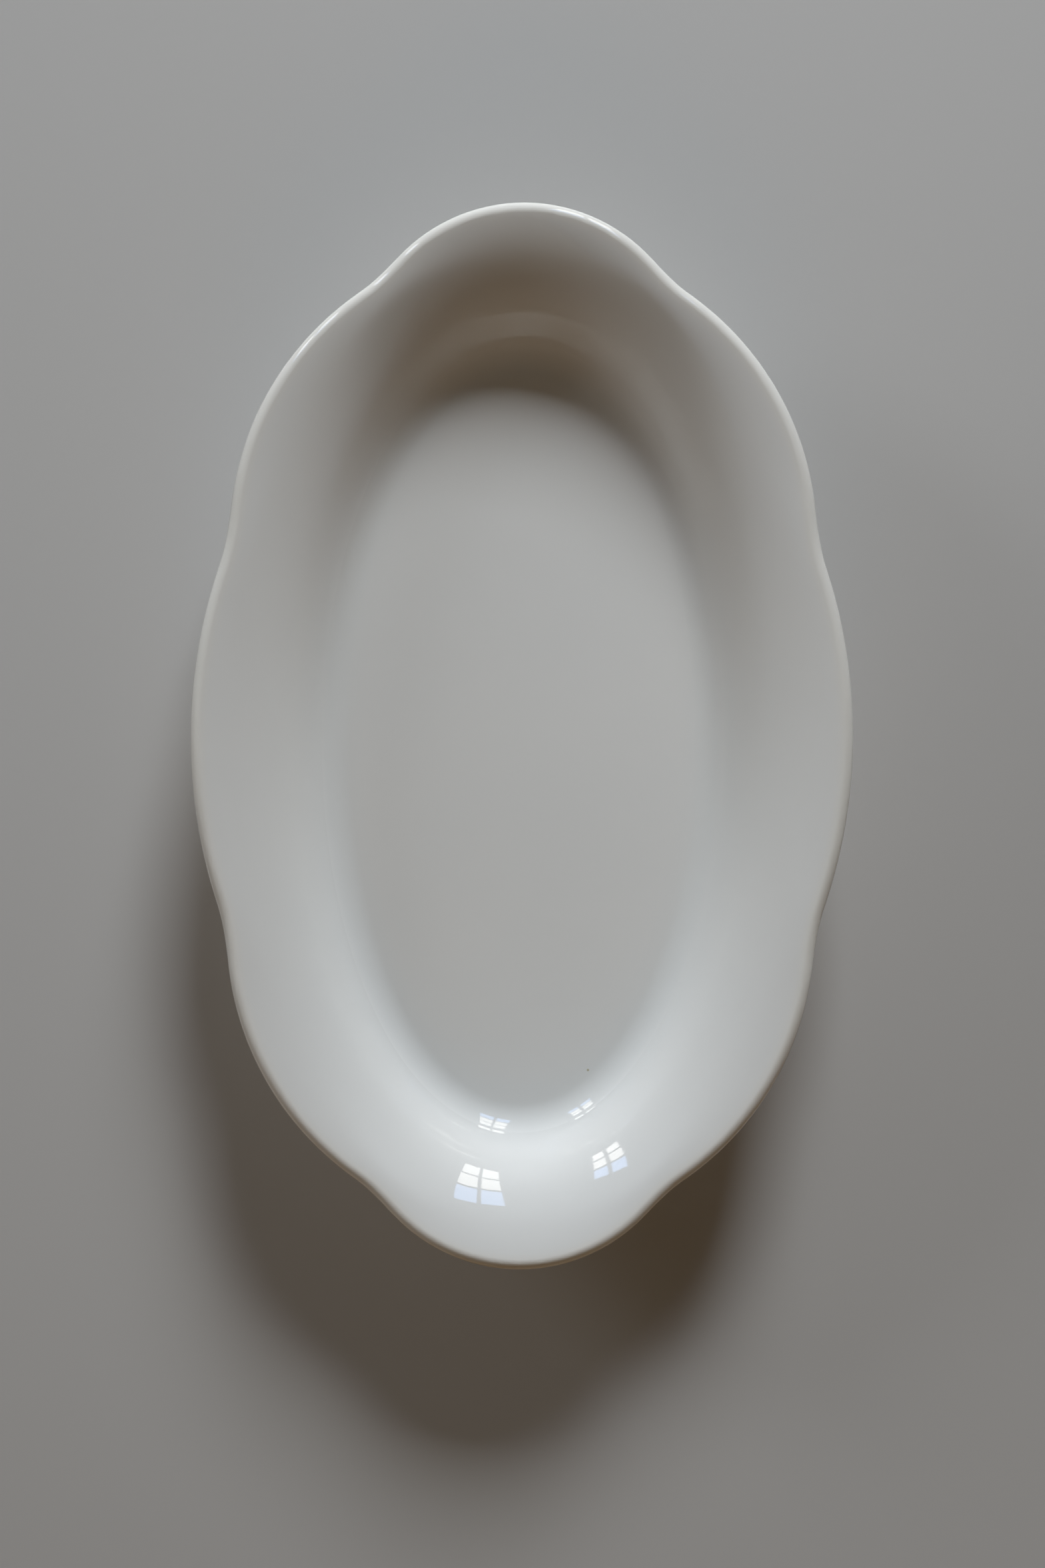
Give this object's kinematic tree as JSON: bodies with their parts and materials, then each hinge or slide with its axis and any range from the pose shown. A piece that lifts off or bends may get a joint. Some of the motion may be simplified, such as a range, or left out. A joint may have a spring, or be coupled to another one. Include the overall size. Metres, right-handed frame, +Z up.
{
  "type": "serving dish",
  "caption": "Oval white glazed ceramic serving dish with a scalloped rolled rim, flared wall, ridged well, flat floor and an oval foot ring.",
  "frame": {"origin": "middle of the plane that the foot ring stands on", "axes": "+Z up, +Y along the dish, +X across it"},
  "size_m": [0.174, 0.28, 0.0339],
  "materials": {
    "white_glaze": "glossy white glaze, smooth, with a faint ripple",
    "fired_clay": "matt fired white earthenware",
    "bare_foot": "matt bare clay, slightly soiled along the standing edge"
  },
  "bodies": {
    "root": {"clay_body": "fired_clay", "foot_ring": "bare_foot", "glaze_coat": "white_glaze", "underside_glaze": "white_glaze"}
  },
  "joints": []
}
